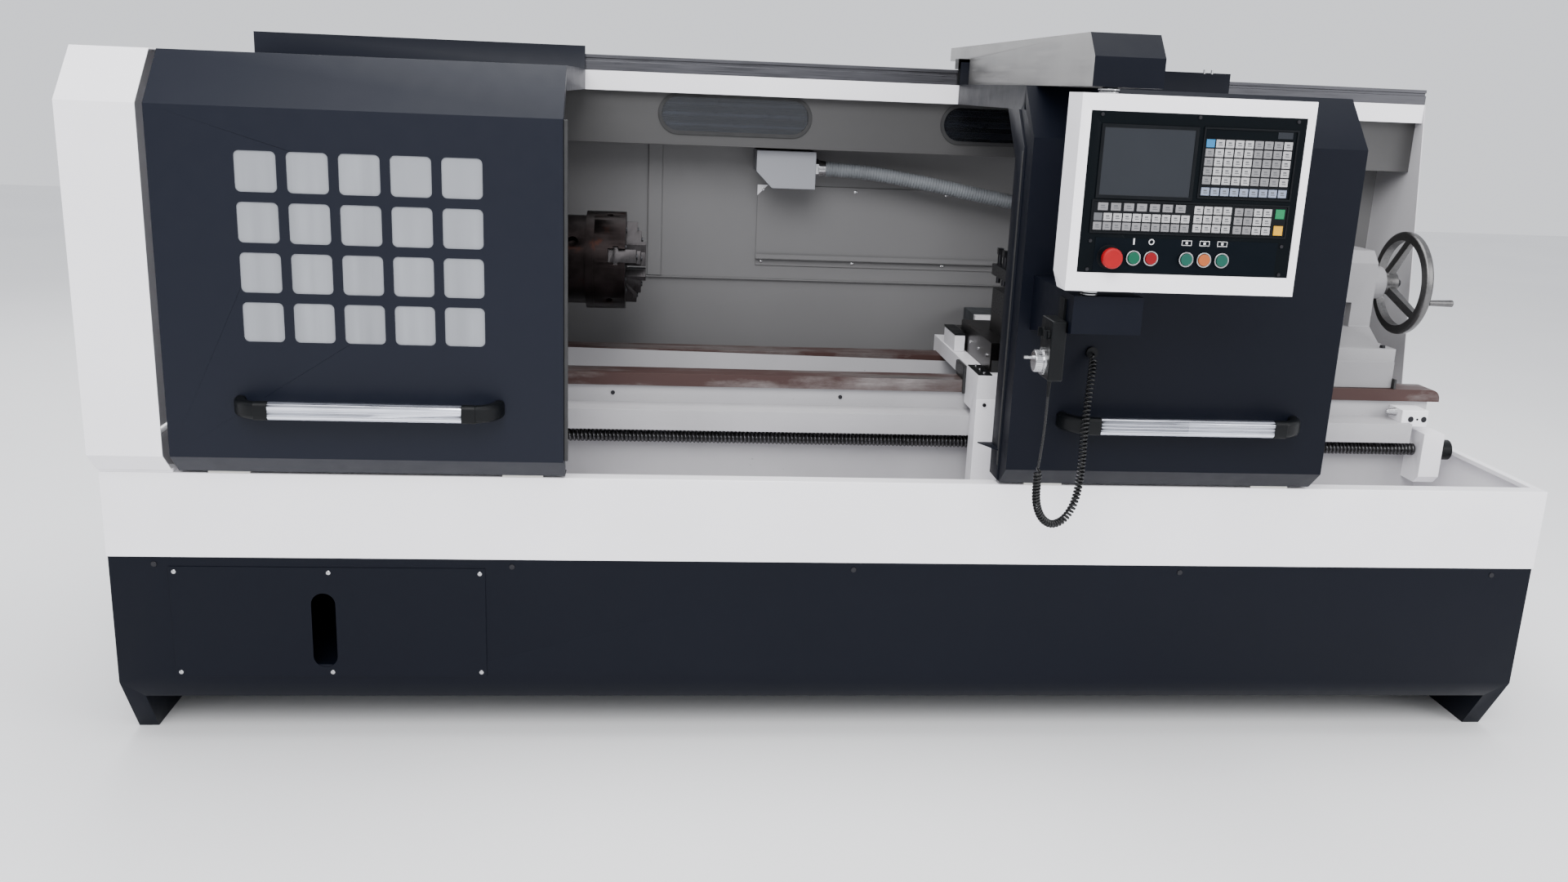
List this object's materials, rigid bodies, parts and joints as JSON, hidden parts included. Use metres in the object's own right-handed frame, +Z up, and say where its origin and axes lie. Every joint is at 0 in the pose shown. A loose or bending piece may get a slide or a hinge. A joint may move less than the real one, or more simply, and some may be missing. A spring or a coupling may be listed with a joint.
{
  "type": "cnc turning lathe",
  "caption": "Flat-bed CNC turning lathe with chip pan, chuck, four-way turret, tailstock, two sliding doors and a swivelling control pendant on an arm.",
  "frame": {"origin": "centre of the bounding box's bottom face, on the floor under the machine", "axes": "+X along the bed from the headstock to the tailstock, +Y from the operator's side to the back, +Z up"},
  "size_m": [3.368, 1.6354, 1.656],
  "materials": {
    "navy_paint": "satin",
    "white_paint": "satin",
    "grey_paint": "satin",
    "cast_white": "painted",
    "steel": "ground",
    "dark_steel": "blackened",
    "motor_iron": "painted",
    "black_plastic": "matte",
    "grey_plastic": "matte",
    "red_plastic": "gloss",
    "green_plastic": "gloss",
    "amber_plastic": "gloss",
    "rubber": "matte",
    "nylon": "matte",
    "clear_glazing": "clear",
    "sheet_aluminium": "brushed"
  },
  "bodies": {
    "machine": {"base_frame": "navy_paint", "access_cover": "navy_paint", "panel_screws": "dark_steel", "chip_pan": "white_paint", "bed": "cast_white", "headstock": "cast_white", "main_motor": "motor_iron", "drive_belt": "rubber", "screw_supports": "white_paint", "z_motor": "motor_iron", "end_cover": "white_paint", "lamp_beam": "white_paint", "door_rail": "sheet_aluminium", "rear_guard": "white_paint", "junction_box": "grey_paint", "conduit": "grey_plastic", "electrical_cabinet": "white_paint"},
    "spindle_unit": {"spindle": "steel", "chuck_plate": "steel", "chuck_body": "steel"},
    "jaw_1": {"chuck_jaw_1": "steel"},
    "jaw_2": {"chuck_jaw_2": "steel"},
    "jaw_3": {"chuck_jaw_3": "steel"},
    "motor_rotor": {"motor_pulley": "steel"},
    "z_screw": {"z_ball_screw": "steel"},
    "carriage_unit": {"carriage": "cast_white", "x_motor": "motor_iron"},
    "x_screw": {"x_ball_screw": "steel"},
    "cross_slide_unit": {"cross_slide": "dark_steel", "turret_base": "steel"},
    "turret": {"turret_head": "steel"},
    "tailstock_unit": {"tailstock": "cast_white"},
    "tail_quill": {"quill": "steel"},
    "tail_wheel": {"tail_handwheel": "sheet_aluminium"},
    "tail_crank": {"wheel_crank": "sheet_aluminium"},
    "left_door": {"left_door_panel": "navy_paint", "left_door_window": "clear_glazing", "left_door_handle": "sheet_aluminium", "left_door_slides": "nylon"},
    "right_door": {"right_door_panel": "navy_paint", "right_door_handle": "sheet_aluminium", "right_door_slides": "nylon", "pendant_arm": "grey_paint", "lower_bracket": "navy_paint", "pulse_unit": "grey_plastic", "lead": "rubber", "curly_lead": "rubber", "lead_grommet": "black_plastic"},
    "pendant": {"pendant_shell": "white_paint", "control_plate": "navy_paint"},
    "stop_button": {"emergency_stop": "red_plastic"},
    "button_1": {"push_button_1": "green_plastic"},
    "button_2": {"push_button_2": "red_plastic"},
    "button_3": {"push_button_3": "green_plastic"},
    "button_4": {"push_button_4": "amber_plastic"},
    "button_5": {"push_button_5": "green_plastic"},
    "dial": {"pulse_dial": "black_plastic"},
    "axis_selector": {"selector_1": "black_plastic"},
    "step_selector": {"selector_2": "black_plastic"},
    "rear_door": {"cabinet_door": "white_paint"}
  },
  "joints": [
    {"name": "spindle_turn", "type": "hinge", "parent": "machine", "child": "spindle_unit", "pos_m": [-0.7, 0.17925, 1.0765], "axis": [1, 0, 0], "continuous": true},
    {"name": "motor_turn", "type": "hinge", "parent": "machine", "child": "motor_rotor", "pos_m": [-1.45, 0.21325, 0.3], "axis": [1, 0, 0], "continuous": true},
    {"name": "jaw_1_slide", "type": "slide", "parent": "spindle_unit", "child": "jaw_1", "axis": [0, -0.9763, 0.2164], "range_m": [-0.015, 0.01]},
    {"name": "jaw_2_slide", "type": "slide", "parent": "spindle_unit", "child": "jaw_2", "axis": [0, 0.3007, -0.9537], "range_m": [-0.015, 0.01]},
    {"name": "jaw_3_slide", "type": "slide", "parent": "spindle_unit", "child": "jaw_3", "axis": [0, 0.6756, 0.7373], "range_m": [-0.015, 0.01]},
    {"name": "left_door_slide", "type": "slide", "parent": "machine", "child": "left_door", "axis": [1, 0, 0], "range_m": [0, 0.49]},
    {"name": "right_door_slide", "type": "slide", "parent": "machine", "child": "right_door", "axis": [1, 0, 0], "range_m": [-0.49, 0.55]},
    {"name": "carriage_slide", "type": "slide", "parent": "machine", "child": "carriage_unit", "axis": [1, 0, 0], "range_m": [-0.78, 0.2]},
    {"name": "z_screw_turn", "type": "hinge", "parent": "machine", "child": "z_screw", "pos_m": [0, -0.04675, 0.664], "axis": [1, 0, 0], "range_deg": [-28081, 7201]},
    {"name": "cross_slide_travel", "type": "slide", "parent": "carriage_unit", "child": "cross_slide_unit", "axis": [0, 1, 0], "range_m": [-0.09, 0.1]},
    {"name": "x_screw_turn", "type": "hinge", "parent": "carriage_unit", "child": "x_screw", "pos_m": [0.475, 0.09325, 0.877], "axis": [0, 1, 0], "range_deg": [-6481, 7201]},
    {"name": "turret_index", "type": "hinge", "parent": "cross_slide_unit", "child": "turret", "pos_m": [0.475, 0.01325, 1], "axis": [0, 0, 1], "continuous": true},
    {"name": "tailstock_slide", "type": "slide", "parent": "machine", "child": "tailstock_unit", "axis": [1, 0, 0], "range_m": [-0.2, 0.02]},
    {"name": "tail_wheel_turn", "type": "hinge", "parent": "tailstock_unit", "child": "tail_wheel", "pos_m": [1.5, 0.17925, 1.0765], "axis": [1, 0, 0], "range_deg": [0, 8640]},
    {"name": "quill_slide", "type": "slide", "parent": "tailstock_unit", "child": "tail_quill", "axis": [-1, 0, 0], "range_m": [0, 0.1201]},
    {"name": "crank_turn", "type": "hinge", "parent": "tail_wheel", "child": "tail_crank", "pos_m": [1.6, 0.05621, 1.04122], "axis": [1, 0, 0], "continuous": true},
    {"name": "pendant_turn", "type": "hinge", "parent": "right_door", "child": "pendant", "pos_m": [0.39, -0.73675, 1.35], "axis": [0, 0, 1], "range_deg": [-90, 25]},
    {"name": "stop_press", "type": "slide", "parent": "pendant", "child": "stop_button", "axis": [0, 1, 0], "range_m": [0, 0.006], "stiffness_N_per_m": 600},
    {"name": "button_1_press", "type": "slide", "parent": "pendant", "child": "button_1", "axis": [0, 1, 0], "range_m": [0, 0.003], "stiffness_N_per_m": 400},
    {"name": "button_2_press", "type": "slide", "parent": "pendant", "child": "button_2", "axis": [0, 1, 0], "range_m": [0, 0.003], "stiffness_N_per_m": 400},
    {"name": "button_3_press", "type": "slide", "parent": "pendant", "child": "button_3", "axis": [0, 1, 0], "range_m": [0, 0.003], "stiffness_N_per_m": 400},
    {"name": "button_4_press", "type": "slide", "parent": "pendant", "child": "button_4", "axis": [0, 1, 0], "range_m": [0, 0.003], "stiffness_N_per_m": 400},
    {"name": "button_5_press", "type": "slide", "parent": "pendant", "child": "button_5", "axis": [0, 1, 0], "range_m": [0, 0.003], "stiffness_N_per_m": 400},
    {"name": "dial_turn", "type": "hinge", "parent": "right_door", "child": "dial", "pos_m": [0.32, -0.69675, 1.008], "axis": [1, 0, 0], "continuous": true},
    {"name": "axis_selector_turn", "type": "hinge", "parent": "right_door", "child": "axis_selector", "pos_m": [0.32, -0.71875, 1.066], "axis": [1, 0, 0], "range_deg": [-60, 60]},
    {"name": "step_selector_turn", "type": "hinge", "parent": "right_door", "child": "step_selector", "pos_m": [0.32, -0.67875, 1.066], "axis": [1, 0, 0], "range_deg": [-60, 60]},
    {"name": "rear_door_turn", "type": "hinge", "parent": "machine", "child": "rear_door", "pos_m": [-0.808, 0.79375, 0.9], "axis": [0, 0, -1], "range_deg": [0, 110]}
  ],
  "couplings": [
    {"joint": "motor_turn", "follows": "spindle_turn", "ratio": 1.5625},
    {"joint": "jaw_2_slide", "follows": "jaw_1_slide", "ratio": 1},
    {"joint": "jaw_3_slide", "follows": "jaw_1_slide", "ratio": 1},
    {"joint": "z_screw_turn", "follows": "carriage_slide", "rad_per_m": 628.32},
    {"joint": "x_screw_turn", "follows": "cross_slide_travel", "rad_per_m": 1256.6},
    {"joint": "quill_slide", "follows": "tail_wheel_turn", "m_per_rad": 0.00079577}
  ]
}
